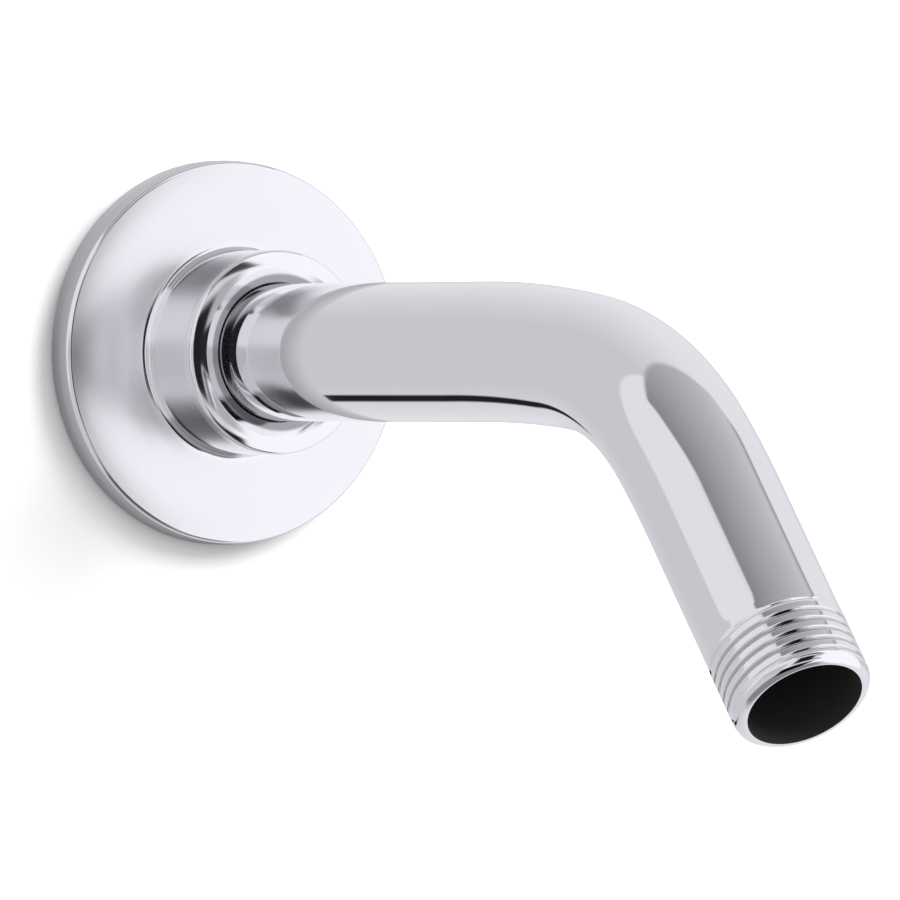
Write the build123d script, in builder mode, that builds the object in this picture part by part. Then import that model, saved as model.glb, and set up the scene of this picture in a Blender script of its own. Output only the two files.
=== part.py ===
"""Shower arm with a slip-on wall flange.

A bent chromed tube carries water from a threaded socket in the wall to a shower head.
Its inlet end screws into the socket, and a loose flange slides along the straight run
to cover the hole. A rubber ring inside the flange grips the tube and holds the flange
against the wall.

Units are millimetres. The origin is where the arm's axis crosses the finished wall,
+X runs out of the wall along the arm, and +Z is up.
"""

import os
from math import cos, radians, sin, tan

from build123d import *

# Arm tube
tube_d = 20.7
tube_wall = 1.75
run_length = 79.6

# Bend: a long easing arc, the main arc and a shorter easing arc into the leg
ease_in_radius = 240.0
ease_in_angle = 6.4
bend_radius = 47.0
bend_angle = 36.6
ease_out_radius = 133.0
ease_out_angle = 5.5

# Leg and threaded ends
leg_length = 36.3
thread_rise = 0.3
thread_runout = 0.6
inlet_thread_length = 20.0
outlet_thread_length = 14.6
end_round = 1.1

# Wall flange
flange_d = 58.0
flange_wall = 1.6
rim_height = 4.65
rim_edge_bevel = 0.4
face_roll_radius = 40.0
face_roll_angle = 9.0
face_angle = 2.0
boss_d = 30.7
boss_height = 18.75
boss_wall = 1.8
boss_base_bevel = 0.7
boss_edge_bevel = 0.4
crown_radius = 7.1
crown_drop = 0.85
ridge_d = 25.8
lip_drop = 0.35
lip_bevel = 1.1
hub_depth = 6.9
thread_clearance = 0.1

# Seal ring
ring_width = 2.5
ring_height = 2.5
ring_bevel = 0.4
ring_setback = 4.2
ring_side_clearance = 0.05
ring_seat_clearance = 0.02
ring_tube_clearance = 0.05

# Radii, and the fits that follow from the tube
tube_r = tube_d / 2
tube_bore_r = tube_r - tube_wall
thread_r = tube_r + thread_rise
flange_r = flange_d / 2
flange_bore_r = thread_r + thread_clearance
boss_r = boss_d / 2
ridge_r = ridge_d / 2
ring_mean_r = tube_r + ring_tube_clearance + ring_height / 2
ring_x = boss_height - ring_setback

# Centre line of the arm from end to end, drawn in its vertical plane
with BuildLine(Plane.XZ) as centre_line:
    run = Line((-inlet_thread_length, 0), (run_length, 0))
    ease_in = JernArc(run @ 1, run % 1, ease_in_radius, -ease_in_angle)
    main_bend = JernArc(ease_in @ 1, ease_in % 1, bend_radius, -bend_angle)
    ease_out = JernArc(main_bend @ 1, main_bend % 1, ease_out_radius, -ease_out_angle)
    leg = Line(ease_out @ 1, (ease_out @ 1) + (ease_out % 1) * leg_length)

# A cross plane at the inlet, and planes through the axis at each end with local x inwards
inlet_face = Plane(run @ 0, x_dir=(0, 1, 0), z_dir=run % 0)
inlet_axial = Plane(run @ 0, x_dir=run % 0, z_dir=(0, 1, 0))
outlet_axial = Plane(leg @ 1, x_dir=-(leg % 1), z_dir=(0, 1, 0))

# Shower arm: the bent tube, a threaded length turned on each end, and the waterway cut out
with BuildPart() as shower_arm:
    with BuildSketch(inlet_face):
        Circle(tube_r)
    sweep(path=centre_line.wires()[0])
    for plane, length in (
        (inlet_axial, inlet_thread_length),
        (outlet_axial, outlet_thread_length),
    ):
        with BuildSketch(plane):
            with BuildLine():
                lip = Line((0, 0), (0, thread_r - end_round))
                curve = RadiusArc(lip @ 1, (end_round, thread_r), end_round)
                Polyline(
                    curve @ 1,
                    (length, thread_r),
                    (length + thread_runout, tube_r),
                    (length + thread_runout, 0),
                    (0, 0),
                )
            make_face()
        revolve(axis=Axis(plane.origin, plane.x_dir))
    with BuildSketch(inlet_face):
        Circle(tube_bore_r)
    sweep(path=centre_line.wires()[0], mode=Mode.SUBTRACT)

# Wall flange: a turned shell, hollow behind, with a tall boss that the tube passes through.
# The boss is crowned outside a low ridge, and dips from the ridge into the tube hole.
roll_top_r = flange_r - face_roll_radius * (
    sin(radians(face_roll_angle)) - sin(radians(face_angle))
)
roll_top_x = rim_height + face_roll_radius * (
    cos(radians(face_angle)) - cos(radians(face_roll_angle))
)
face_x = roll_top_x + (roll_top_r - boss_r) * tan(radians(face_angle))
crown_x = boss_height - crown_drop
lip_x = boss_height - lip_drop
hub_x = boss_height - hub_depth
cavity_r = boss_r - boss_wall

with BuildPart() as wall_flange:
    with BuildSketch(Plane.XZ) as flange_section:
        with BuildLine():
            Polyline((0, flange_r - flange_wall), (0, flange_r), (rim_height, flange_r))
            RadiusArc((rim_height, flange_r), (roll_top_x, roll_top_r), -face_roll_radius)
            Polyline((roll_top_x, roll_top_r), (face_x, boss_r), (crown_x, boss_r))
            RadiusArc((crown_x, boss_r), (boss_height, ridge_r), -crown_radius)
            Polyline(
                (boss_height, ridge_r),
                (lip_x, flange_bore_r),
                (hub_x, flange_bore_r),
                (hub_x, cavity_r),
                (face_x - flange_wall, cavity_r),
                (rim_height - flange_wall, flange_r - flange_wall),
                (0, flange_r - flange_wall),
            )
        make_face()
        for corner, bevel in (
            ((rim_height, flange_r), rim_edge_bevel),
            ((face_x, boss_r), boss_base_bevel),
            ((crown_x, boss_r), boss_edge_bevel),
            ((lip_x, flange_bore_r), lip_bevel),
        ):
            chamfer(flange_section.vertices().sort_by_distance(corner)[0], bevel)
    revolve(axis=Axis.X)
    # Groove for the seal ring, cut into the bore of the boss
    with BuildSketch(Plane.XZ):
        with Locations((ring_x, ring_mean_r)):
            Rectangle(
                ring_width + 2 * ring_side_clearance,
                ring_height + 2 * ring_seat_clearance,
            )
    revolve(axis=Axis.X, mode=Mode.SUBTRACT)

# Seal ring: a square rubber ring that fills the groove and bears on the tube
with BuildPart() as seal_ring:
    with BuildSketch(Plane.XZ) as ring_section:
        with Locations((ring_x, ring_mean_r)):
            Rectangle(ring_width, ring_height)
        chamfer(ring_section.vertices().group_by(Axis.Y)[0], ring_bevel)
    revolve(axis=Axis.X)

shower_arm.part.label = "shower_arm"
wall_flange.part.label = "wall_flange"
seal_ring.part.label = "seal_ring"

os.makedirs("parts", exist_ok=True)
export_step(shower_arm.part, "parts/shower_arm.step")
export_step(wall_flange.part, "parts/wall_flange.step")
export_step(seal_ring.part, "parts/seal_ring.step")
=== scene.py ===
"""Shower arm with a slip-on wall flange: its visible meshes, finishes, studio and camera.

Everything is in metres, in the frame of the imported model: the origin is where the arm's axis
crosses the wall, +X runs out of the wall along the arm and +Z is up. Sizes are written in
millimetres and scaled by MM.
"""

import logging
import math
from dataclasses import dataclass
from enum import Enum
from typing import Union

import bpy
from mathutils import Matrix, Vector


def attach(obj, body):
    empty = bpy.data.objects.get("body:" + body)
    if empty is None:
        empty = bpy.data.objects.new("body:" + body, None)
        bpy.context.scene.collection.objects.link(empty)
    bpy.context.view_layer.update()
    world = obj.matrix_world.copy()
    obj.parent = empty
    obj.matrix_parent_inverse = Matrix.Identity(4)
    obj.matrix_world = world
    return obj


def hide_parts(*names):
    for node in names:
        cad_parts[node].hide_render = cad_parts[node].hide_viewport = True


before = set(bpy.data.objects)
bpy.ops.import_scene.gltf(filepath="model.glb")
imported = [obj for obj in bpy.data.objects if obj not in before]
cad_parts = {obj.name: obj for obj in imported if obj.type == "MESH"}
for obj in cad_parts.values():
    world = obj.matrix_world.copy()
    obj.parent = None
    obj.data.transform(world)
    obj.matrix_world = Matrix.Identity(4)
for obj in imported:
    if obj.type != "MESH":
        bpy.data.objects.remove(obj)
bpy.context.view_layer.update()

MM = 0.001
LOG = logging.getLogger("shower_arm")

# Rays that feel for nearby surfaces, the turn below which a corner is straight, in radians, and
# the distance in metres within which the two edges of a swept sheet are joined
NOOK_RAYS = 8
STRAIGHT_TURN = 1e-4
SEAM = 1e-6

Socket = bpy.types.NodeSocket
Value = Union[float, Socket]


class NodeFlow:
    """Adds nodes to one tree and joins them, so that a rule reads as a line of calls."""

    def __init__(self, tree: bpy.types.NodeTree) -> None:
        """Keeps the tree that the nodes go into.

        Args:
            tree: An empty or part-built geometry or shader tree.
        """
        self.tree = tree

    def node(self, kind: str, **settings: object) -> bpy.types.Node:
        """Adds a node.

        Args:
            kind: The node's type name.
            settings: Properties to set on it.

        Returns:
            The new node.
        """
        made = self.tree.nodes.new(kind)
        for name, setting in settings.items():
            setattr(made, name, setting)
        return made

    def feed(self, socket: Socket, value: object) -> None:
        """Links a socket to an input, or writes a plain value on it.

        Args:
            socket: The input.
            value: An output socket, or a value for the input.
        """
        if isinstance(value, bpy.types.NodeSocket):
            self.tree.links.new(value, socket)
        else:
            socket.default_value = value

    def math(self, operation: str, *values: Value) -> Socket:
        """Adds a math node.

        Args:
            operation: The operation, such as ADD or SINE.
            values: Its inputs in order.

        Returns:
            The result.
        """
        made = self.node("ShaderNodeMath", operation=operation)
        for socket, value in zip(made.inputs, values):
            self.feed(socket, value)
        return made.outputs[0]

    def add(self, first: Value, *others: Value) -> Socket:
        """Adds up values.

        Args:
            first: The first value.
            others: Any number of others.

        Returns:
            The sum.
        """
        total = first
        for other in others:
            total = self.math("ADD", total, other)
        return total

    def times(self, first: Value, *others: Value) -> Socket:
        """Multiplies values.

        Args:
            first: The first value.
            others: Any number of others.

        Returns:
            The product.
        """
        product = first
        for other in others:
            product = self.math("MULTIPLY", product, other)
        return product

    def minus(self, first: Value, second: Value) -> Socket:
        """Subtracts the second value from the first."""
        return self.math("SUBTRACT", first, second)

    def over(self, first: Value, second: Value) -> Socket:
        """Divides the first value by the second."""
        return self.math("DIVIDE", first, second)

    def ramp(self, value: Value, start: Value, end: Value, low: Value = 0.0, high: Value = 1.0,
             smooth: bool = False) -> Socket:
        """Maps a value from start..end to low..high and holds it there.

        Args:
            value: What is mapped.
            start: Where the result is low.
            end: Where the result is high.
            low: The result at start.
            high: The result at end.
            smooth: Whether the ramp eases at both ends.

        Returns:
            The mapped value.
        """
        kind = "SMOOTHSTEP" if smooth else "LINEAR"
        made = self.node("ShaderNodeMapRange", clamp=True, interpolation_type=kind)
        for socket, given in zip(made.inputs, (value, start, end, low, high)):
            self.feed(socket, given)
        return made.outputs[0]

    def length(self, first: Value, second: Value) -> Socket:
        """Gives the length of a vector with two values."""
        return self.math("SQRT", self.add(self.times(first, first), self.times(second, second)))

    def vector(self, x: Value, y: Value, z: Value) -> Socket:
        """Joins three values into a vector.

        Args:
            x: The first value.
            y: The second value.
            z: The third value.

        Returns:
            The vector.
        """
        made = self.node("ShaderNodeCombineXYZ")
        for socket, value in zip(made.inputs, (x, y, z)):
            self.feed(socket, value)
        return made.outputs[0]

    def parts(self, vector: Socket) -> tuple[Socket, Socket, Socket]:
        """Splits a vector.

        Args:
            vector: The vector.

        Returns:
            Its three values.
        """
        made = self.node("ShaderNodeSeparateXYZ")
        self.feed(made.inputs[0], vector)
        return made.outputs[0], made.outputs[1], made.outputs[2]

    def darken(self, colour: Socket, share: Socket) -> Socket:
        """Darkens a colour.

        Args:
            colour: The colour.
            share: The share of its brightness that is left.

        Returns:
            The darker colour.
        """
        made = self.node("ShaderNodeHueSaturation")
        self.feed(made.inputs["Color"], colour)
        self.feed(made.inputs["Value"], share)
        return made.outputs[0]

    def blend(self, share: Value, first: object, second: object) -> Socket:
        """Mixes two colours.

        Args:
            share: The share of the second colour.
            first: A colour, or the socket that gives it.
            second: The other colour.

        Returns:
            The mixed colour.
        """
        made = self.node("ShaderNodeMix", data_type="RGBA")
        colours = [socket for socket in made.inputs if socket.type == "RGBA"]
        for socket, value in zip((made.inputs["Factor"], *colours), (share, first, second)):
            self.feed(socket, value)
        return next(socket for socket in made.outputs if socket.type == "RGBA")

    def either(self, share: Value, first: Socket, second: Socket) -> Socket:
        """Mixes two shaders.

        Args:
            share: The share of the second shader.
            first: A shader.
            second: The other shader.

        Returns:
            The mixed shader.
        """
        made = self.node("ShaderNodeMixShader")
        for socket, value in zip(made.inputs, (share, first, second)):
            self.feed(socket, value)
        return made.outputs[0]


def new_tree(name: str, kind: str, inputs: dict[str, str], outputs: dict[str, str]) -> bpy.types.NodeTree:
    """Makes a node group with named sockets.

    Args:
        name: The group's name.
        kind: GeometryNodeTree or ShaderNodeTree.
        inputs: Socket type of each input, by name.
        outputs: Socket type of each output, by name.

    Returns:
        The group, with no nodes.
    """
    tree = bpy.data.node_groups.new(name, kind)
    for label, socket_type in inputs.items():
        tree.interface.new_socket(label, in_out="INPUT", socket_type=socket_type)
    for label, socket_type in outputs.items():
        tree.interface.new_socket(label, in_out="OUTPUT", socket_type=socket_type)
    return tree


def mesh_from_tree(name: str, tree: bpy.types.NodeTree, values: dict[str, object]) -> bpy.types.Object:
    """Runs a geometry tree once and keeps its result as a plain mesh.

    Args:
        name: The piece's name.
        tree: The geometry tree.
        values: A value for each of its inputs, by name.

    Returns:
        The piece, at the origin, with no modifier left on it.
    """
    piece = bpy.data.objects.new(name, bpy.data.meshes.new(name + "_start"))
    bpy.context.scene.collection.objects.link(piece)
    modifier = piece.modifiers.new(tree.name, "NODES")
    modifier.node_group = tree
    for item in tree.interface.items_tree:
        if item.item_type == "SOCKET" and item.in_out == "INPUT":
            modifier[item.identifier] = values[item.name]
    depsgraph = bpy.context.evaluated_depsgraph_get()
    mesh = bpy.data.meshes.new_from_object(piece.evaluated_get(depsgraph), depsgraph=depsgraph)
    piece.modifiers.remove(modifier)
    piece.data = mesh
    mesh.name = name
    return piece


@dataclass(frozen=True)
class Finish:
    """A finish whose roughness runs from polish to haze in patches, finer with a larger grain."""

    name: str
    colour: tuple[float, float, float]
    polish: float
    haze: float
    grain: float
    metallic: float = 0.0
    specular: float = 0.5

    def material(self, group: bpy.types.NodeTree) -> bpy.types.Material:
        """Builds the material.

        Args:
            group: The shared buffing group.

        Returns:
            The material.
        """
        material = bpy.data.materials.new(self.name)
        material.use_nodes = True
        flow = NodeFlow(material.node_tree)
        shader = material.node_tree.nodes["Principled BSDF"]
        shader.inputs["Metallic"].default_value = self.metallic
        shader.inputs["Specular IOR Level"].default_value = self.specular
        place = flow.node("ShaderNodeTexCoord").outputs["Object"]
        buffing = flow.node("ShaderNodeGroup", node_tree=group)
        flow.feed(buffing.inputs["Place"], place)
        buffing.inputs["Scale"].default_value = self.grain
        buffing.inputs["Smooth"].default_value = self.polish
        buffing.inputs["Hazy"].default_value = self.haze
        buffing.inputs["Colour"].default_value = (*self.colour, 1.0)
        roughness, colour = buffing.outputs["Roughness"], buffing.outputs["Colour"]
        roughness, colour = self.zoned(flow, place, roughness, colour)
        flow.feed(shader.inputs["Roughness"], roughness)
        flow.feed(shader.inputs["Base Color"], colour)
        return material

    def zoned(self, flow: NodeFlow, place: Socket, roughness: Socket,
              colour: Socket) -> tuple[Socket, Socket]:
        """Leaves the finish as it is. A finish that has zones changes it here."""
        return roughness, colour


@dataclass(frozen=True)
class Chrome(Finish):
    """Polished chrome plate, with a satin ring, and painted shade in a recess and in crevices, where they are
    given.

    The satin ring, the recess and the reach of the crevices' painted shade are in millimetres.
    """

    colour: tuple[float, float, float] = (0.905, 0.902, 0.93)
    polish: float = 0.035
    haze: float = 0.055
    grain: float = 90.0
    metallic: float = 1.0
    satin: float = 0.0
    satin_band: tuple[float, float] = (16.5, 28.4)
    satin_fade: tuple[float, float] = (0.4, 0.2)
    # Painted shade: inside the recess radius the colour darkens to recess_shade, over recess_fade
    recess: float = 0.0
    recess_fade: float = 0.2
    recess_shade: float = 0.45
    # Painted shade in crevices: within this reach the AO node finds the piece's own surfaces and the colour
    # darkens down to crevice_shade
    crevice: float = 0.0
    crevice_band: tuple[float, float] = (0.62, 0.93)
    crevice_shade: float = 0.25

    def zoned(self, flow: NodeFlow, place: Socket, roughness: Socket,
              colour: Socket) -> tuple[Socket, Socket]:
        """Roughens the satin ring, and darkens the colour in the recess and the crevices as painted shade.

        Args:
            flow: The material's nodes.
            place: The place on the object.
            roughness: The roughness without zones.
            colour: The colour without zones.

        Returns:
            The roughness and the colour.
        """
        if self.satin > 0.0:
            _, y, z = flow.parts(place)
            radius = flow.length(y, z)
            (inner, outer), (near, far) = self.satin_band, self.satin_fade
            band = flow.times(
                flow.ramp(radius, (inner - near) * MM, (inner + near) * MM),
                flow.ramp(radius, (outer - far) * MM, (outer + far) * MM, 1.0, 0.0),
            )
            roughness = flow.add(roughness, flow.times(band, self.satin))
            # Painted shade inside the recess: the colour darkens where the radius is below recess, at the
            # boss's mouth and down its bore
            start, end = self.recess - self.recess_fade, self.recess + self.recess_fade
            colour = flow.darken(colour, flow.ramp(radius, start * MM, end * MM, self.recess_shade, 1.0))
        # Painted shade in the crevices: the colour darkens where the AO node finds the piece's own surfaces
        # close, as in the thread's grooves
        if self.crevice > 0.0:
            nook = flow.node("ShaderNodeAmbientOcclusion", samples=NOOK_RAYS, only_local=True)
            nook.inputs["Distance"].default_value = self.crevice * MM
            left = flow.ramp(nook.outputs["AO"], *self.crevice_band, self.crevice_shade, 1.0)
            colour = flow.darken(colour, left)
        return roughness, colour


@dataclass(frozen=True)
class ShadedBore(Finish):
    """The dull, unplated brass inside the waterway, its colour painted near black as the shade inside the
    bore.
    """

    name: str = "waterway_brass_shade"
    # Near-black colour: painted shade inside the bore
    colour: tuple[float, float, float] = (0.05, 0.046, 0.042)
    polish: float = 0.7
    haze: float = 0.9
    grain: float = 400.0
    specular: float = 0.1


@dataclass(frozen=True)
class Rubber(Finish):
    """Matt black rubber of the seal ring."""

    name: str = "seal_rubber"
    colour: tuple[float, float, float] = (0.022, 0.022, 0.024)
    polish: float = 0.55
    haze: float = 0.75
    grain: float = 900.0


def buffing_group(haze_band: tuple[float, float] = (0.35, 0.7), tone_band: tuple[float, float] = (0.3, 0.7),
                  dimmest: float = 0.985, detail: float = 4.0) -> bpy.types.NodeTree:
    """Builds the shared group that varies a finish's roughness and colour a little over its surface.

    Args:
        haze_band: The noise between which the roughness goes from smooth to hazy.
        tone_band: The noise between which the colour goes from dim to full.
        dimmest: The share of the colour's brightness that is left where it is dim.
        detail: How fine the noise is.

    Returns:
        The shader group.
    """
    tree = new_tree(
        "Buffing",
        "ShaderNodeTree",
        {"Place": "NodeSocketVector", "Scale": "NodeSocketFloat", "Smooth": "NodeSocketFloat",
         "Hazy": "NodeSocketFloat", "Colour": "NodeSocketColor"},
        {"Roughness": "NodeSocketFloat", "Colour": "NodeSocketColor"},
    )
    flow = NodeFlow(tree)
    given = flow.node("NodeGroupInput").outputs
    result = flow.node("NodeGroupOutput").inputs
    noise = flow.node("ShaderNodeTexNoise")
    flow.feed(noise.inputs["Vector"], given["Place"])
    flow.feed(noise.inputs["Scale"], given["Scale"])
    noise.inputs["Detail"].default_value = detail
    haze = flow.ramp(noise.outputs[0], *haze_band, given["Smooth"], given["Hazy"])
    flow.feed(result["Roughness"], haze)
    tone = flow.ramp(noise.outputs[0], *tone_band, dimmest, 1.0)
    flow.feed(result["Colour"], flow.darken(given["Colour"], tone))
    return tree


@dataclass
class ArmPath:
    """The arm's centre line: a straight run, an easing arc, the bend, an easing arc and the leg."""

    stub: float = 20.0
    run: float = 79.6
    ease_in_radius: float = 240.0
    ease_in_angle: float = 6.4
    bend_radius: float = 47.0
    bend_angle: float = 36.6
    ease_out_radius: float = 133.0
    ease_out_angle: float = 5.5
    leg: float = 36.3

    def arcs(self) -> tuple[tuple[float, float], ...]:
        """Gives the radius in millimetres and the angle in radians of each arc, in order."""
        return (
            (self.ease_in_radius, math.radians(self.ease_in_angle)),
            (self.bend_radius, math.radians(self.bend_angle)),
            (self.ease_out_radius, math.radians(self.ease_out_angle)),
        )

    def bend_start(self) -> float:
        """Gives the distance from the inlet end to the start of the bend."""
        return self.stub + self.run

    def bend_length(self) -> float:
        """Gives the length of the three arcs."""
        return sum(radius * angle for radius, angle in self.arcs())

    def length(self) -> float:
        """Gives the whole length, from end to end."""
        return self.bend_start() + self.bend_length() + self.leg


class Run(Enum):
    """How a stretch of the arm's section runs: straight, or as a quarter round off a face or a wall."""

    STRAIGHT = "straight"
    ROUND_OFF_FACE = "round off face"
    ROUND_OFF_WALL = "round off wall"


class Zone(Enum):
    """The part of the arm that a stretch of its section belongs to, in the section's order."""

    OUTSIDE = "outside"
    OUTLET_FACE = "outlet face"
    BORE = "bore"


@dataclass(frozen=True)
class Stretch:
    """A stretch of the arm's section: its rows, and where along the arm and at what radius it ends."""

    rows: int
    along: float
    radius: float
    run: Run = Run.STRAIGHT
    zone: Zone = Zone.OUTSIDE


@dataclass
class ShowerArm:
    """The bent tube with a taper pipe thread on each end.

    Each thread fades in and out between two distances: before and after its inner end, and from
    the arm's end.
    """

    path: ArmPath
    chrome: bpy.types.Material
    bore: bpy.types.Material
    tube_radius: float = 10.35
    bore_radius: float = 8.6
    crest_radius: float = 10.45
    thread_depth: float = 0.36
    pitch: float = 1.814
    crest_share: float = 0.45
    inlet_thread: float = 20.0
    inlet_fade: tuple[float, float] = (1.0, 1.4)
    inlet_end_fade: tuple[float, float] = (0.5, 1.5)
    outlet_thread: float = 11.0
    outlet_fade: tuple[float, float] = (1.0, 2.5)
    outlet_end_fade: tuple[float, float] = (2.2, 1.0)
    runout: float = 1.6
    lip: float = 1.7
    bore_edge: float = 0.1
    flattening: float = 0.045
    widening: float = 0.5
    flattest_at: float = 0.7
    around: int = 144

    def stretches(self) -> list[Stretch]:
        """Lists the section of the wall, from the inlet's face over the outside and back inside.

        Returns:
            The stretches in order, in millimetres. The first starts at the edge of the bore.
        """
        total, bend = self.path.length(), self.path.bend_start()
        crest, tube, bore = self.crest_radius, self.tube_radius, self.bore_radius
        return [
            Stretch(2, 0.0, crest - self.lip),
            Stretch(8, self.lip, crest, Run.ROUND_OFF_FACE),
            Stretch(140, self.inlet_thread, crest),
            Stretch(10, self.inlet_thread + self.runout, tube),
            Stretch(60, bend, tube),
            Stretch(96, bend + self.path.bend_length(), tube),
            Stretch(16, total - self.outlet_thread - self.runout, tube),
            Stretch(10, total - self.outlet_thread, crest),
            Stretch(150, total - self.lip, crest),
            Stretch(10, total, crest - self.lip, Run.ROUND_OFF_WALL),
            Stretch(3, total, bore + self.bore_edge, zone=Zone.OUTLET_FACE),
            Stretch(4, total - self.bore_edge, bore, Run.ROUND_OFF_FACE, Zone.BORE),
            Stretch(70, self.bore_edge, bore, zone=Zone.BORE),
            Stretch(4, 0.0, bore + self.bore_edge, Run.ROUND_OFF_WALL, Zone.BORE),
        ]

    def rows(self, *zones: Zone) -> int:
        """Counts the rows of the section in some zones."""
        return sum(stretch.rows for stretch in self.stretches() if stretch.zone in zones)

    def tree(self) -> bpy.types.NodeTree:
        """Builds the geometry tree that sweeps the wall's section along the arm.

        Returns:
            The tree. Its inputs are the sizes in metres and the two finishes.
        """
        sizes = ("Thread Depth", "Thread Pitch", "Flattening")
        tree = new_tree(
            "Arm sweep",
            "GeometryNodeTree",
            {**{name: "NodeSocketFloat" for name in sizes},
             "Around": "NodeSocketInt", "Plate": "NodeSocketMaterial", "Waterway": "NodeSocketMaterial"},
            {"Geometry": "NodeSocketGeometry"},
        )
        flow = NodeFlow(tree)
        given = flow.node("NodeGroupInput").outputs
        rows = self.rows(*Zone)

        grid = flow.node("GeometryNodeMeshGrid")
        grid.inputs["Size X"].default_value = rows
        grid.inputs["Size Y"].default_value = 1.0
        grid.inputs["Vertices X"].default_value = rows + 1
        flow.feed(grid.inputs["Vertices Y"], flow.add(given["Around"], 1.0))
        place = flow.node("GeometryNodeInputPosition").outputs[0]
        across, turn, _ = flow.parts(place)
        row = flow.add(across, rows / 2)
        angle = flow.times(flow.add(turn, 0.5), math.tau)

        # Whether each face is in the bore is noted before the grid is moved
        noted = flow.node("GeometryNodeCaptureAttribute", domain="FACE")
        noted.capture_items.new("FLOAT", "Inside")
        flow.feed(noted.inputs["Geometry"], grid.outputs["Mesh"])
        plated = self.rows(Zone.OUTSIDE, Zone.OUTLET_FACE)
        flow.feed(noted.inputs["Inside"], flow.math("GREATER_THAN", row, plated - 0.5))

        along, radius = self._section(flow, row)
        radius = flow.minus(radius, self._thread(flow, along, angle, row, given))
        centre_x, centre_z, heading = self._centre_line(flow, along)
        squeeze = self._squeeze(flow, along, given["Flattening"])
        swell = flow.add(1.0, flow.times(squeeze, self.widening))
        wide = flow.times(radius, flow.math("COSINE", angle), swell)
        tall = flow.times(radius, flow.math("SINE", angle), flow.minus(1.0, squeeze))
        moved = flow.node("GeometryNodeSetPosition")
        flow.feed(moved.inputs["Geometry"], noted.outputs["Geometry"])
        flow.feed(moved.inputs["Position"], flow.vector(
            flow.add(centre_x, flow.times(tall, flow.math("SINE", heading))),
            wide,
            flow.add(centre_z, flow.times(tall, flow.math("COSINE", heading))),
        ))
        self._finish(flow, moved.outputs[0], noted.outputs["Inside"], given)
        return tree

    def _section(self, flow: NodeFlow, row: Socket) -> tuple[Value, Value]:
        """Turns a row number into a distance along the arm and a radius.

        Args:
            flow: The tree's nodes.
            row: The row number.

        Returns:
            The distance and the radius in metres.
        """
        last = Stretch(0, 0.0, self.bore_radius + self.bore_edge)
        along: Value = last.along * MM
        radius: Value = last.radius * MM
        first = 0
        for stretch in self.stretches():
            share = flow.ramp(row, first, first + stretch.rows)
            along_share = radius_share = share
            if stretch.run is not Run.STRAIGHT:
                turn = flow.times(share, math.pi / 2)
                early, late = flow.math("SINE", turn), flow.minus(1.0, flow.math("COSINE", turn))
                off_face = stretch.run is Run.ROUND_OFF_FACE
                along_share, radius_share = (late, early) if off_face else (early, late)
            along = flow.add(along, flow.times(along_share, (stretch.along - last.along) * MM))
            radius = flow.add(radius, flow.times(radius_share, (stretch.radius - last.radius) * MM))
            last, first = stretch, first + stretch.rows
        return along, radius

    def _thread(self, flow: NodeFlow, along: Value, angle: Socket, row: Socket,
                given: bpy.types.bpy_prop_collection) -> Socket:
        """Gives how deep the thread's groove is at each point of the wall.

        Args:
            flow: The tree's nodes.
            along: The distance along the arm.
            angle: The angle round the arm.
            row: The row number, which tells the outer wall from the bore.
            given: The tree's inputs.

        Returns:
            The depth in metres.
        """
        turns = flow.minus(flow.over(along, given["Thread Pitch"]), flow.over(angle, math.tau))
        wave = flow.math("ABSOLUTE", flow.minus(flow.times(flow.math("FRACT", turns), 2.0), 1.0))
        groove = flow.ramp(wave, self.crest_share, 1.0, smooth=True)
        before, after = self.inlet_fade
        inlet_start, inlet_stop = self.inlet_thread - before, self.inlet_thread + after
        inlet = flow.ramp(along, inlet_start * MM, inlet_stop * MM, 1.0, 0.0)
        total = self.path.length()
        before, after = self.outlet_fade
        outlet_start = total - self.outlet_thread
        outlet = flow.ramp(along, (outlet_start - before) * MM, (outlet_start + after) * MM)
        near, far = self.inlet_end_fade
        faded_in = flow.ramp(along, near * MM, far * MM)
        far, near = self.outlet_end_fade
        faded_out = flow.ramp(along, (total - far) * MM, (total - near) * MM, 1.0, 0.0)
        outside = flow.math("LESS_THAN", row, self.rows(Zone.OUTSIDE) + 0.5)
        threaded = flow.add(inlet, outlet)
        return flow.times(groove, threaded, faded_in, faded_out, outside, given["Thread Depth"])

    def _centre_line(self, flow: NodeFlow, along: Value) -> tuple[Value, Value, Value]:
        """Gives the centre line's place and heading at a distance along the arm.

        Args:
            flow: The tree's nodes.
            along: The distance from the inlet end, in metres.

        Returns:
            X, Z and the downward heading in radians.
        """
        run_end = self.path.bend_start() * MM
        x: Value = flow.minus(flow.math("MINIMUM", along, run_end), self.path.stub * MM)
        z: Value = 0.0
        heading: Value = 0.0
        start, turned = run_end, 0.0
        for radius_mm, angle in self.path.arcs():
            radius = radius_mm * MM
            part = flow.ramp(along, start, start + radius * angle, 0.0, angle)
            now = flow.add(part, turned)
            x = flow.add(x, flow.times(flow.minus(flow.math("SINE", now), math.sin(turned)), radius))
            z = flow.add(z, flow.times(flow.minus(flow.math("COSINE", now), math.cos(turned)), radius))
            heading = flow.add(heading, part)
            start, turned = start + radius * angle, turned + angle
        rest = flow.math("MAXIMUM", flow.minus(along, start), 0.0)
        x = flow.add(x, flow.times(rest, math.cos(turned)))
        z = flow.minus(z, flow.times(rest, math.sin(turned)))
        return x, z, heading

    def _squeeze(self, flow: NodeFlow, along: Value, flattening: Socket) -> Socket:
        """Gives the share by which bending has flattened the tube at a distance along it.

        Args:
            flow: The tree's nodes.
            along: The distance from the inlet end.
            flattening: The largest share.

        Returns:
            The share, which is none outside the bend.
        """
        start = self.path.bend_start() * MM
        peak = start + self.path.bend_length() * self.flattest_at * MM
        end = start + self.path.bend_length() * MM
        half_turns = flow.add(flow.ramp(along, start, peak, 0.0, 0.5), flow.ramp(along, peak, end, 0.0, 0.5))
        swell = flow.math("SINE", flow.times(half_turns, math.pi))
        return flow.times(swell, swell, flattening)

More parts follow.
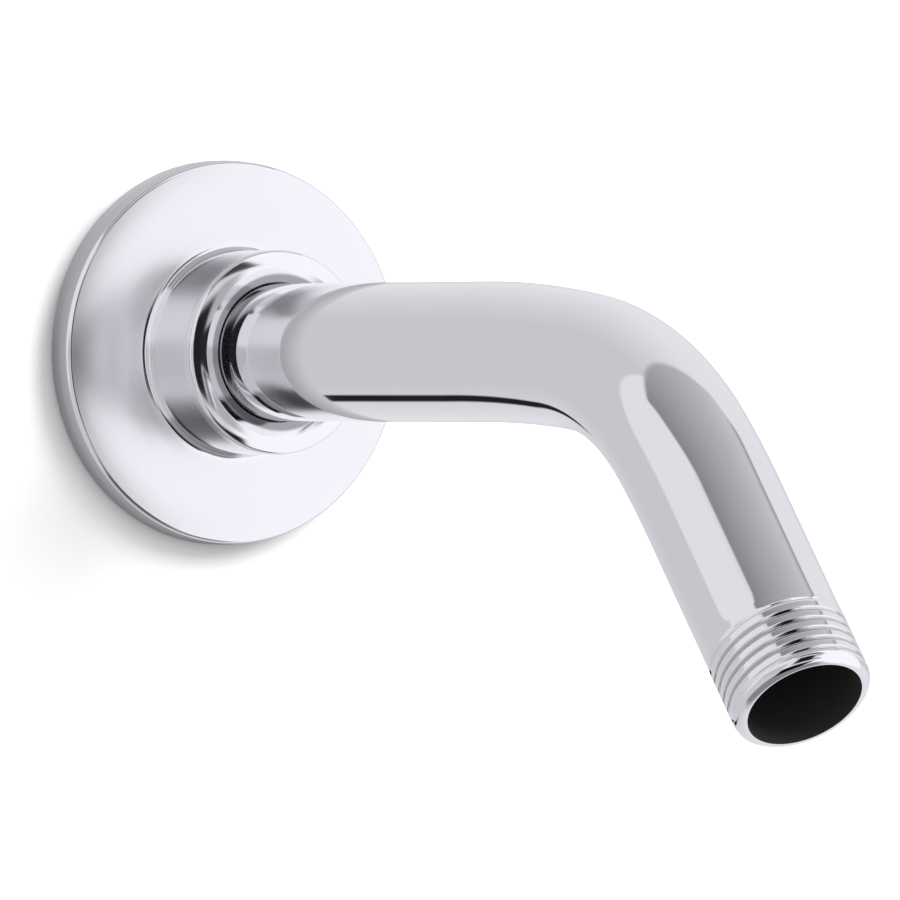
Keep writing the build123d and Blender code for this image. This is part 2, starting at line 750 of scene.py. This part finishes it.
    def _finish(self, flow: NodeFlow, geometry: Socket, inside: Socket,
                given: bpy.types.bpy_prop_collection) -> None:
        """Closes the swept wall, turns its faces outwards, smooths it and gives it its two finishes.

        Args:
            flow: The tree's nodes.
            geometry: The swept grid.
            inside: The share of each face's corners that are in the bore.
            given: The tree's inputs.
        """
        merged = flow.node("GeometryNodeMergeByDistance")
        flow.feed(merged.inputs["Geometry"], geometry)
        merged.inputs["Distance"].default_value = SEAM
        outward = flow.node("GeometryNodeFlipFaces")
        flow.feed(outward.inputs[0], merged.outputs[0])
        smooth = flow.node("GeometryNodeSetShadeSmooth")
        flow.feed(smooth.inputs["Geometry"], outward.outputs[0])
        whole = flow.node("GeometryNodeRealizeInstances")
        flow.feed(whole.inputs[0], smooth.outputs[0])
        plate = flow.node("GeometryNodeSetMaterial")
        flow.feed(plate.inputs["Geometry"], whole.outputs[0])
        flow.feed(plate.inputs["Material"], given["Plate"])
        lining = flow.node("GeometryNodeSetMaterial")
        flow.feed(lining.inputs["Geometry"], plate.outputs[0])
        all_corners = flow.math("GREATER_THAN", inside, 0.9)
        flow.feed(lining.inputs["Selection"], all_corners)
        flow.feed(lining.inputs["Material"], given["Waterway"])
        result = flow.node("NodeGroupOutput")
        flow.feed(result.inputs[0], lining.outputs[0])

    def build(self) -> bpy.types.Object:
        """Makes the arm, and has it stand for its solid.

        Returns:
            The piece.
        """
        piece = mesh_from_tree("arm_tube", self.tree(), {
            "Thread Depth": self.thread_depth * MM,
            "Thread Pitch": self.pitch * MM,
            "Flattening": self.flattening,
            "Around": self.around,
            "Plate": self.chrome,
            "Waterway": self.bore,
        })
        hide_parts("shower_arm")
        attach(piece, "arm")
        return piece


@dataclass(frozen=True)
class Corner:
    """A corner of a turned piece's half section, in millimetres, and the radius that rounds it."""

    x: float
    r: float
    round: float = 0.0


def bowed(start: tuple[float, float], end: tuple[float, float], radius: float, steps: int) -> list[Corner]:
    """Lists the points between two ends of an arc that bows out of the material.

    Args:
        start: The first end, as (x, r).
        end: The last end.
        radius: The arc's radius.
        steps: The number of steps from end to end.

    Returns:
        The points between the ends, in order.
    """
    first, last = Vector(start), Vector(end)
    chord = last - first
    out = Vector((-chord.y, chord.x)).normalized()
    half = math.asin(chord.length / (2 * radius))
    centre = (first + last) / 2 - out * radius * math.cos(half)
    middle = math.atan2(out.y, out.x)
    corners = []
    for step in range(1, steps):
        angle = middle + half - 2 * half * step / steps
        corners.append(Corner(centre.x + radius * math.cos(angle), centre.y + radius * math.sin(angle)))
    return corners


def rounded_outline(corners: list[Corner], step: float = math.radians(4.0),
                    margin: float = 0.05) -> list[tuple[float, float]]:
    """Rounds the corners of a closed half section.

    Args:
        corners: The corners in order.
        step: The turn between the points of an arc.
        margin: How far from each end of an arc a point lies on the straight stretch.

    Returns:
        The outline's points.
    """
    points: list[Vector] = []
    for index, corner in enumerate(corners):
        before, after = corners[index - 1], corners[(index + 1) % len(corners)]
        here = Vector((corner.x, corner.r))
        back = (Vector((before.x, before.r)) - here).normalized()
        ahead = (Vector((after.x, after.r)) - here).normalized()
        turn = math.pi - back.angle(ahead)
        if corner.round <= 0.0 or turn < STRAIGHT_TURN:
            points.append(here)
            continue
        reach = corner.round * math.tan(turn / 2)
        centre = here + (back + ahead).normalized() * (corner.round / math.cos(turn / 2))
        start, end = here + back * reach - centre, here + ahead * reach - centre
        sign = 1.0 if start.x * end.y - start.y * end.x > 0 else -1.0
        first = math.atan2(start.y, start.x)
        pieces = max(2, math.ceil(turn / step))
        points.append(here + back * (reach + margin))
        for part in range(pieces + 1):
            angle = first + sign * turn * part / pieces
            points.append(centre + corner.round * Vector((math.cos(angle), math.sin(angle))))
        points.append(here + ahead * (reach + margin))
    return [(point.x, point.y) for point in points]


def turned_mesh(name: str, outline: list[tuple[float, float]], around: int) -> bpy.types.Mesh:
    """Turns a closed half section about the arm's axis.

    Args:
        name: The mesh's name.
        outline: Points (x, r) in millimetres.
        around: The number of steps in a turn.

    Returns:
        A closed mesh with smooth faces that point outwards.
    """
    rings = len(outline)
    verts = []
    for step in range(around):
        angle = math.tau * step / around
        for x, r in outline:
            verts.append((x * MM, r * MM * math.cos(angle), r * MM * math.sin(angle)))
    faces = []
    for step in range(around):
        this, that = step * rings, (step + 1) % around * rings
        for ring in range(rings):
            after = (ring + 1) % rings
            faces.append((this + ring, that + ring, that + after, this + after))
    mesh = bpy.data.meshes.new(name)
    mesh.from_pydata(verts, [], faces)
    mesh.shade_smooth()
    mesh.update()
    return mesh


@dataclass
class WallFlange:
    """The turned cover that slides along the arm to the wall: a shallow dish with a tall boss."""

    chrome: bpy.types.Material
    radius: float = 29.0
    wall: float = 1.6
    back_edge: float = 0.2
    rim_height: float = 4.65
    rim_edge: float = 0.75
    rim_taper: float = 0.18
    taper_start: float = 2.2
    taper_round: float = 6.0
    roll_radius: float = 40.0
    roll_angle: float = 10.0
    face_angle: float = 2.0
    boss_radius: float = 15.35
    boss_height: float = 18.75
    base_round: float = 1.1
    base_flare: float = 0.1
    waist: float = 0.04
    waist_round: float = 8.0
    bead: float = 2.2
    boss_edge: float = 0.6
    line_depth: float = 0.2
    line_width: float = 0.3
    line_setback: float = 0.45
    line_edge: float = 0.08
    line_root: float = 0.05
    crown_bow: float = 10.0
    crown_drop: float = 0.68
    ridge_radius: float = 12.9
    ridge_round: float = 0.25
    mouth_bow: float = 8.0
    mouth_drop: float = 0.5
    mouth_radius: float = 11.05
    lip_drop: float = 0.74
    lip_round: float = 0.4
    hub_radius: float = 10.42
    hub_depth: float = 6.9
    hub_edge: float = 0.2
    groove_front: float = 2.9
    groove_width: float = 2.6
    groove_radius: float = 12.92
    groove_edge: float = 0.1
    boss_wall: float = 1.8
    cavity_round: float = 0.4
    shell_round: float = 0.5
    bow_steps: int = 8
    mouth_steps: int = 5
    around: int = 224

    def outline(self) -> list[tuple[float, float]]:
        """Lists the half section, from the back rim over the face and boss and back inside.

        Returns:
            The points (x, r) in millimetres. Beside a rounded corner an arc's first or last point
            is left out, because the round takes its place.
        """
        steep, gentle = math.radians(self.roll_angle), math.radians(self.face_angle)
        rim = (self.rim_height, self.radius - self.rim_taper)
        roll_top = (
            self.rim_height + self.roll_radius * (math.cos(gentle) - math.cos(steep)),
            rim[1] - self.roll_radius * (math.sin(steep) - math.sin(gentle)),
        )
        face_x = roll_top[0] + (roll_top[1] - self.boss_radius) * math.tan(gentle)
        top = (self.boss_height - self.crown_drop, self.boss_radius)
        line_x = top[0] - self.line_setback
        ridge = (self.boss_height, self.ridge_radius)
        mouth = (self.boss_height - self.mouth_drop, self.mouth_radius)
        inner = self.radius - self.wall
        cavity = self.boss_radius - self.boss_wall
        hub_x = self.boss_height - self.hub_depth
        groove_x = self.boss_height - self.groove_front
        return rounded_outline([
            Corner(0.0, self.radius, self.back_edge),
            Corner(self.taper_start, self.radius, self.taper_round),
            Corner(*rim, self.rim_edge),
            *bowed(rim, roll_top, self.roll_radius, self.bow_steps)[1:],
            Corner(*roll_top),
            Corner(face_x, self.boss_radius + self.base_flare, self.base_round),
            Corner(top[0] - self.bead, self.boss_radius - self.waist, self.waist_round),
            Corner(line_x - self.line_width, self.boss_radius, self.line_edge),
            Corner(line_x - self.line_width / 2, self.boss_radius - self.line_depth, self.line_root),
            Corner(line_x, self.boss_radius, self.line_edge),
            Corner(*top, self.boss_edge),
            *bowed(top, ridge, self.crown_bow, self.bow_steps)[1:-1],
            Corner(*ridge, self.ridge_round),
            *bowed(ridge, mouth, self.mouth_bow, self.mouth_steps)[1:],
            Corner(self.boss_height - self.lip_drop, self.hub_radius, self.lip_round),
            Corner(groove_x, self.hub_radius, self.groove_edge),
            Corner(groove_x, self.groove_radius),
            Corner(groove_x - self.groove_width, self.groove_radius),
            Corner(groove_x - self.groove_width, self.hub_radius, self.groove_edge),
            Corner(hub_x, self.hub_radius, self.hub_edge),
            Corner(hub_x, cavity, self.cavity_round),
            Corner(face_x - self.wall, cavity, self.shell_round),
            Corner(self.rim_height - self.wall, inner, self.shell_round),
            Corner(0.0, inner, self.back_edge),
        ])

    def build(self) -> bpy.types.Object:
        """Makes the flange, and has it stand for its solid.

        Returns:
            The piece.
        """
        mesh = turned_mesh("flange_cover", self.outline(), self.around)
        mesh.materials.append(self.chrome)
        piece = bpy.data.objects.new("flange_cover", mesh)
        bpy.context.scene.collection.objects.link(piece)
        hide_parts("wall_flange")
        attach(piece, "flange")
        return piece


@dataclass
class SealRing:
    """The rubber ring inside the flange, which keeps its solid's own shape."""

    rubber: bpy.types.Material

    def dress(self) -> bpy.types.Object:
        """Gives the ring its rubber.

        Returns:
            The ring's node.
        """
        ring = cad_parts["seal_ring"]
        ring.data.materials.clear()
        ring.data.materials.append(self.rubber)
        return ring


class Side(Enum):
    """The side of the studio that a card hangs on: the axis it faces, and the axes across it."""

    CEILING = (2, 1.0, 0, 1)
    FLOOR = (2, -1.0, 0, 1)
    FRONT = (0, 1.0, 1, 2)
    LEFT = (1, -1.0, 0, 2)


@dataclass(frozen=True)
class Card:
    """A panel of the studio, seen by the chrome only.

    Its edges are slopes: how far across per unit of distance to the side that it hangs on, and
    soft is how far each edge fades. Its level runs from one end of its length to the other. Its
    lean slopes the edges that run along it, and its tilt slopes the edges that run across it.
    """

    side: Side
    across: tuple[float, float]
    along: tuple[float, float]
    level: tuple[float, float]
    soft: tuple[float, float, float, float]
    lean: float = 0.0
    tilt: float = 0.0


@dataclass
class Studio:
    """Plain studio light: pale surroundings with dark panels for the chrome, and one soft lamp.

    To the chrome the surroundings get brighter to the right, away from the horizon.
    """

    tint: tuple[float, float, float] = (0.985, 0.98, 1.02)
    level: float = 0.635
    right_rise: float = 0.2
    right_band: tuple[float, float] = (-0.3, 0.5)
    horizon_band: tuple[float, float] = (0.02, 0.3)
    fill: float = 0.55
    card_depth: tuple[float, float] = (0.01, 0.06)
    least_depth: float = 1e-4
    lamp_size: float = 1.2
    lamp_power: float = 35.0
    lamp_place: tuple[float, float, float] = (0.9, 0.9, 0.9)
    cards: tuple[Card, ...] = ()

    def world(self) -> bpy.types.World:
        """Builds the surroundings.

        Returns:
            The world: white to the camera, panels to the chrome and an even fill to the rest.
        """
        world = bpy.data.worlds.new("studio")
        world.use_nodes = True
        bpy.context.scene.world = world
        tree = world.node_tree
        tree.nodes.clear()
        flow = NodeFlow(tree)
        direction = flow.parts(flow.node("ShaderNodeTexCoord").outputs["Generated"])
        slant = flow.ramp(flow.math("ABSOLUTE", direction[2]), *self.horizon_band)
        rightward = flow.ramp(direction[1], *self.right_band, 0.0, self.right_rise)
        level: Value = flow.add(self.level, flow.times(slant, rightward))
        for card in self.cards:
            level = self._hang(flow, direction, level, card)
        tinted = flow.node("ShaderNodeVectorMath", operation="SCALE")
        tinted.inputs[0].default_value = self.tint
        flow.feed(tinted.inputs["Scale"], level)
        path = flow.node("ShaderNodeLightPath").outputs
        mirrored = flow.math("MAXIMUM", path["Is Glossy Ray"], path["Is Transmission Ray"])
        fill = (self.fill, self.fill, self.fill, 1.0)
        surround = flow.blend(mirrored, fill, tinted.outputs[0])
        shown = flow.blend(path["Is Camera Ray"], surround, (1.0, 1.0, 1.0, 1.0))
        background = flow.node("ShaderNodeBackground")
        flow.feed(background.inputs["Color"], shown)
        flow.feed(flow.node("ShaderNodeOutputWorld").inputs["Surface"], background.outputs[0])
        return world

    def _hang(self, flow: NodeFlow, direction: tuple[Socket, Socket, Socket], level: Value,
              card: Card) -> Socket:
        """Puts one card into the surroundings.

        Args:
            flow: The world's nodes.
            direction: The three values of the direction looked in.
            level: The brightness without the card.
            card: The card.

        Returns:
            The brightness with the card.
        """
        facing, sign, first, second = card.side.value
        depth = flow.times(direction[facing], sign)
        safe = flow.math("MAXIMUM", depth, self.least_depth)
        u, v = flow.over(direction[first], safe), flow.over(direction[second], safe)
        u, v = flow.minus(u, flow.times(v, card.lean)), flow.minus(v, flow.times(u, card.tilt))
        (u0, u1), (v0, v1) = card.across, card.along
        s0, s1, s2, s3 = card.soft
        mask = flow.times(
            flow.ramp(u, u0 - s0, u0 + s0, smooth=True),
            flow.ramp(u, u1 - s1, u1 + s1, 1.0, 0.0, smooth=True),
            flow.ramp(v, v0 - s2, v0 + s2, smooth=True),
            flow.ramp(v, v1 - s3, v1 + s3, 1.0, 0.0, smooth=True),
            flow.ramp(depth, *self.card_depth),
        )
        shade = flow.ramp(v, v0, v1, *card.level)
        return flow.add(flow.times(level, flow.minus(1.0, mask)), flow.times(shade, mask))

    def lamp(self) -> bpy.types.Object:
        """Hangs the one soft lamp, to the right above, which the chrome doesn't mirror.

        Returns:
            The lamp.
        """
        data = bpy.data.lights.new("key", "AREA")
        data.shape = "DISK"
        data.size = self.lamp_size
        data.energy = self.lamp_power
        lamp = bpy.data.objects.new("key", data)
        bpy.context.scene.collection.objects.link(lamp)
        lamp.location = self.lamp_place
        lamp.rotation_mode = "QUATERNION"
        lamp.rotation_quaternion = lamp.location.to_track_quat("Z", "Y")
        lamp.visible_glossy = False
        lamp.visible_camera = False
        return lamp


@dataclass
class Wall:
    """The pale wall behind the flange, which takes its shadow and is not part of the object.

    The chrome mirrors only a ring of it around the flange, which glows: its brightness goes from
    a painted contact shadow at the flange's edge to ring_level in the middle, and up by ring_rise
    to its outer edge. The painted contact shadow runs from darkest on the shadow side to lightest on
    the lit side. Lengths are in millimetres, apart from reach.
    """

    reach: float = 1.5
    gap: float = 0.1
    albedo: float = 0.75
    tint: tuple[float, float, float] = (0.985, 0.98, 1.02)
    lift: float = 0.4
    # Reach, AO band and side of the painted shadow in the nook beside the flange
    nook_reach: float = 7.0
    nook_band: tuple[float, float] = (0.5, 0.97)
    nook_side: tuple[float, float] = (0.0, 0.6)
    ring: tuple[float, float] = (28.8, 35.2)
    ring_start: float = 29.0
    ring_middle: float = 32.5
    ring_level: float = 0.46
    ring_rise: float = 0.17
    # Painted contact shadow at the flange's edge, from the shadow side to the lit side
    contact_shadow: tuple[float, float] = (0.2, 0.62)
    contact_side: tuple[float, float] = (-0.7, 0.3)

    def material(self) -> bpy.types.Material:
        """Builds the wall's finish.

        Returns:
            White to the camera where no shadow falls, and clear from behind.
        """
        material = bpy.data.materials.new("wall_paint")
        material.use_nodes = True
        tree = material.node_tree
        tree.nodes.clear()
        flow = NodeFlow(tree)
        path = flow.node("ShaderNodeLightPath").outputs
        _, y, z = flow.parts(flow.node("ShaderNodeTexCoord").outputs["Object"])
        radius = flow.length(y, z)
        lit_side = flow.over(flow.add(y, z), flow.times(radius, math.sqrt(2.0)))
        paint = self._paint(flow, path["Is Camera Ray"], lit_side)
        surface = flow.either(path["Is Glossy Ray"], paint, self._mirrored(flow, radius, lit_side))
        inner, outer = self.ring
        past_inner = flow.math("GREATER_THAN", radius, inner * MM)
        on_ring = flow.times(past_inner, flow.math("LESS_THAN", radius, outer * MM))
        unseen = flow.times(path["Is Glossy Ray"], flow.minus(1.0, on_ring))
        backfacing = flow.node("ShaderNodeNewGeometry").outputs["Backfacing"]
        behind = flow.times(backfacing, path["Is Camera Ray"])
        clear = flow.node("ShaderNodeBsdfTransparent").outputs[0]
        shown = flow.either(flow.math("MAXIMUM", unseen, behind), surface, clear)
        flow.feed(flow.node("ShaderNodeOutputMaterial").inputs["Surface"], shown)
        return material

    def _paint(self, flow: NodeFlow, to_camera: Socket, lit_side: Socket) -> Socket:
        """Builds the paint, which glows to white for the camera, except for a painted shadow in the nook on
        the flange's shadow side.

        Args:
            flow: The wall's nodes.
            to_camera: Whether the camera sees the wall.
            lit_side: How far the place lies to the lit side of the flange, from -1 to 1.

        Returns:
            The shader.
        """
        diffuse = flow.node("ShaderNodeBsdfDiffuse")
        diffuse.inputs["Color"].default_value = (self.albedo, self.albedo, self.albedo, 1.0)
        # Painted shadow: the camera's glow is lowered where the AO node finds the flange close, on its shadow
        # side
        nook = flow.node("ShaderNodeAmbientOcclusion", samples=NOOK_RAYS)
        nook.inputs["Distance"].default_value = self.nook_reach * MM
        nook_shade = flow.times(
            flow.ramp(nook.outputs["AO"], *self.nook_band, 1.0, 0.0),
            flow.ramp(lit_side, *self.nook_side, 1.0, 0.0),
        )
        lift = flow.times(self.lift, flow.minus(1.0, nook_shade))
        glow = flow.node("ShaderNodeEmission")
        flow.feed(glow.inputs["Strength"], flow.times(to_camera, lift))
        paint = flow.node("ShaderNodeAddShader")
        flow.feed(paint.inputs[0], diffuse.outputs[0])
        flow.feed(paint.inputs[1], glow.outputs[0])
        return paint.outputs[0]

    def _mirrored(self, flow: NodeFlow, radius: Socket, lit_side: Socket) -> Socket:
        """Builds the glowing ring of wall that the chrome mirrors, with a painted contact shadow at the
        flange's edge.

        Args:
            flow: The wall's nodes.
            radius: The distance from the arm's axis.
            lit_side: How far the place lies to the lit side of the flange, from -1 to 1.

        Returns:
            The shader.
        """
        middle, end = self.ring_middle * MM, self.ring[1] * MM
        # Painted contact shadow: the ring's glow is darkest at the flange's edge, more so on the shadow side
        contact_shadow = flow.ramp(lit_side, *self.contact_side, *self.contact_shadow)
        strength = flow.add(
            flow.ramp(radius, self.ring_start * MM, middle, contact_shadow, self.ring_level),
            flow.ramp(radius, middle, end, 0.0, self.ring_rise),
        )
        ring = flow.node("ShaderNodeEmission")
        ring.inputs["Color"].default_value = (*self.tint, 1.0)
        flow.feed(ring.inputs["Strength"], strength)
        return ring.outputs[0]

    def build(self) -> bpy.types.Object:
        """Stands the wall just behind the flange.

        Returns:
            The wall.
        """
        x, far = -self.gap * MM, self.reach
        mesh = bpy.data.meshes.new("wall")
        mesh.from_pydata([(x, -far, -far), (x, far, -far), (x, far, far), (x, -far, far)], [], [(0, 1, 2, 3)])
        mesh.materials.append(self.material())
        wall = bpy.data.objects.new("wall", mesh)
        bpy.context.scene.collection.objects.link(wall)
        return wall


@dataclass
class PhotoCamera:
    """The camera at the photograph's viewing angle, far off with a long lens.

    Angles are in degrees, the distance and the target in millimetres, and the clips in metres.
    """

    azimuth: float = 59.1085
    elevation: float = 0.2533
    roll: float = 0.039
    distance: float = 2270.2
    target: tuple[float, float, float] = (68.034, 0.0, -14.449)
    lens: float = 616.4
    sensor: float = 36.0
    clips: tuple[float, float] = (0.1, 50.0)

    def build(self) -> bpy.types.Object:
        """Places the camera.

        Returns:
            The scene's camera.
        """
        data = bpy.data.cameras.new("photo_camera")
        data.lens, data.sensor_width = self.lens, self.sensor
        data.clip_start, data.clip_end = self.clips
        camera = bpy.data.objects.new("photo_camera", data)
        bpy.context.scene.collection.objects.link(camera)
        turn, rise = math.radians(self.azimuth), math.radians(self.elevation)
        back = Vector((math.sin(turn) * math.cos(rise), -math.cos(turn) * math.cos(rise), math.sin(rise)))
        camera.location = (Vector(self.target) + back * self.distance) * MM
        camera.rotation_mode = "QUATERNION"
        camera.rotation_quaternion = back.to_track_quat("Z", "Y")
        camera.rotation_quaternion @= Matrix.Rotation(math.radians(self.roll), 3, "Z").to_quaternion()
        bpy.context.scene.camera = camera
        return camera


STUDIO_CARDS = (
    # Pale panels on the left: beside the wall from low to high, and farther out only above
    Card(Side.LEFT, (-0.64, 0.15), (-0.3, 3.0), (0.82, 0.82), (0.03, 0.1, 0.1, 0.1)),
    Card(Side.LEFT, (0.15, 3.0), (0.15, 3.0), (0.82, 0.82), (0.1, 0.1, 0.08, 0.1)),
    # In front: grey from the camera leftwards, pale to the right of it, and white far right
    Card(Side.FRONT, (-6.0, -0.57), (-0.6, 0.15), (0.555, 0.555), (0.1, 0.05, 0.1, 0.08)),
    Card(Side.FRONT, (-0.57, -0.3), (-0.5, 0.4), (0.8, 0.8), (0.05, 0.06, 0.1, 0.1)),
    Card(Side.FRONT, (0.24, 6.0), (-4.0, 4.0), (1.05, 1.05), (0.06, 0.1, 0.1, 0.1)),
    # Grey ceiling panels over the arm, and a dark one high in front
    Card(Side.CEILING, (-0.2, 0.5), (-0.66, 0.95), (0.26, 0.64), (0.025, 0.2, 0.04, 0.05)),
    Card(Side.CEILING, (-0.2, 0.5), (0.86, 0.97), (0.36, 0.36), (0.025, 0.2, 0.09, 0.04)),
    Card(Side.FRONT, (-0.125, 0.69), (0.57, 0.9), (0.04, 0.04), (0.03, 0.03, 0.03, 0.06),
         lean=-0.5, tilt=-0.35),
    # Dark floor panel, a black one low in front, and a black strip that leans across the floor
    Card(Side.FLOOR, (0.0, 0.9), (-0.6, 0.6), (0.25, 0.25), (0.1, 0.1, 0.1, 0.1)),
    Card(Side.FRONT, (-0.5, 0.33), (-1.3, -0.56), (0.0, 0.0), (0.06, 0.05, 0.1, 0.04)),
    Card(Side.FLOOR, (-2.7, -1.66), (-0.3, 0.65), (0.015, 0.015), (0.18, 0.18, 0.1, 0.15), lean=-3.745),
    # Black strip straight ahead of the wall, and grey patches right of it, above and below
    Card(Side.FRONT, (0.14, 0.36), (0.14, 0.42), (0.45, 0.45), (0.06, 0.06, 0.06, 0.06)),
    Card(Side.FRONT, (0.14, 0.36), (-0.42, -0.14), (0.45, 0.45), (0.06, 0.06, 0.06, 0.06)),
    Card(Side.FRONT, (-0.31, 0.14), (-0.33, 0.33), (0.012, 0.012), (0.08, 0.06, 0.08, 0.08)),
)


def main() -> None:
    """Builds the pieces, the studio and the camera."""
    logging.basicConfig(level=logging.INFO, format="%(name)s: %(message)s")
    bpy.context.scene.view_settings.view_transform = "Standard"
    buffing = buffing_group()
    # The arm's chrome gets painted shade in its crevices
    arm_chrome = Chrome("arm_chrome", crevice=0.7).material(buffing)
    # The flange's chrome gets painted shade inside its recess
    flange_chrome = Chrome("flange_chrome", polish=0.085, haze=0.1, satin=0.15, recess=11.8).material(buffing)
    pieces = [
        ShowerArm(ArmPath(), arm_chrome, ShadedBore().material(buffing)).build(),
        WallFlange(flange_chrome).build(),
        SealRing(Rubber().material(buffing)).dress(),
    ]
    for piece in pieces:
        piece.data.calc_loop_triangles()
        LOG.info("%s: %d triangles", piece.name, len(piece.data.loop_triangles))
    Wall().build()
    studio = Studio(cards=STUDIO_CARDS)
    studio.world()
    studio.lamp()
    PhotoCamera().build()


if __name__ == "__main__":
    main()
